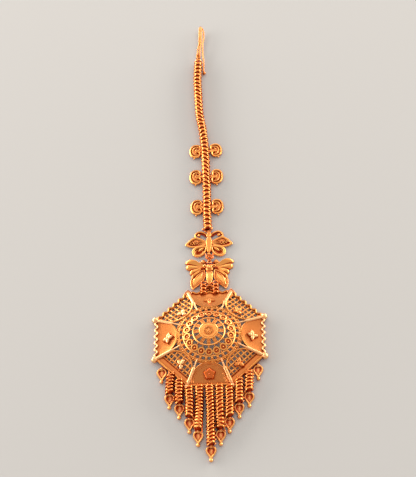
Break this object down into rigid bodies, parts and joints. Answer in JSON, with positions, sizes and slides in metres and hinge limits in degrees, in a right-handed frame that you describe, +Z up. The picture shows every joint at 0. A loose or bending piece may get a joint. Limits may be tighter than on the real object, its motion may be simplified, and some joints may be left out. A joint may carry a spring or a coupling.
{
  "type": "maang tikka",
  "caption": "Gold filigree maang tikka lying face up: hair hook, woven chain, paired scrolls, butterflies, domed octagonal pendant and a fringe of leaf drops.",
  "frame": {"origin": "on the floor under the middle of the whole ornament", "axes": "+Y runs along the ornament from the fringe to the hair hook, +Z up out of the face, +X to the right seen from the fringe"},
  "size_m": [0.031, 0.155, 0.0064],
  "materials": {
    "hook_wire": "polished gold-plated wire",
    "links": "polished gold-plated wire",
    "woven_chain": "gold-plated woven links with dark gaps",
    "ornament": "polished gold-plated stamping",
    "frame": "gold-plated sheet and wire, brushed panels and bright rims",
    "filigree": "gold-plated filigree wire"
  },
  "bodies": {
    "root": {"butterfly_ring": "links", "centre_boss": "frame", "flower_bottom": "ornament", "flower_left": "ornament", "flower_lower_left": "ornament", "flower_lower_right": "ornament", "flower_right": "ornament", "flower_top": "ornament", "flower_upper_left": "ornament", "flower_upper_right": "ornament", "fringe_chain_1": "woven_chain", "fringe_chain_2": "woven_chain", "fringe_chain_3": "woven_chain", "fringe_chain_4": "woven_chain", "fringe_chain_5": "woven_chain", "fringe_chain_6": "woven_chain", "fringe_chain_7": "woven_chain", "fringe_chain_8": "woven_chain", "fringe_chain_9": "woven_chain", "hair_hook": "hook_wire", "hook_ring": "links", "leaf_drop_1": "ornament", "leaf_drop_10": "ornament", "leaf_drop_11": "ornament", "leaf_drop_2": "ornament", "leaf_drop_3": "ornament", "leaf_drop_4": "ornament", "leaf_drop_5": "ornament", "leaf_drop_6": "ornament", "leaf_drop_7": "ornament", "leaf_drop_8": "ornament", "leaf_drop_9": "ornament", "lower_butterfly": "ornament", "medallion_frame": "frame", "neck_chain_left": "woven_chain", "neck_chain_right": "woven_chain", "rosette_dome": "filigree", "scroll_lower_left": "ornament", "scroll_lower_right": "ornament", "scroll_middle_left": "ornament", "scroll_middle_right": "ornament", "scroll_upper_left": "ornament", "scroll_upper_right": "ornament", "upper_butterfly": "ornament", "upper_chain": "woven_chain"}
  },
  "joints": []
}
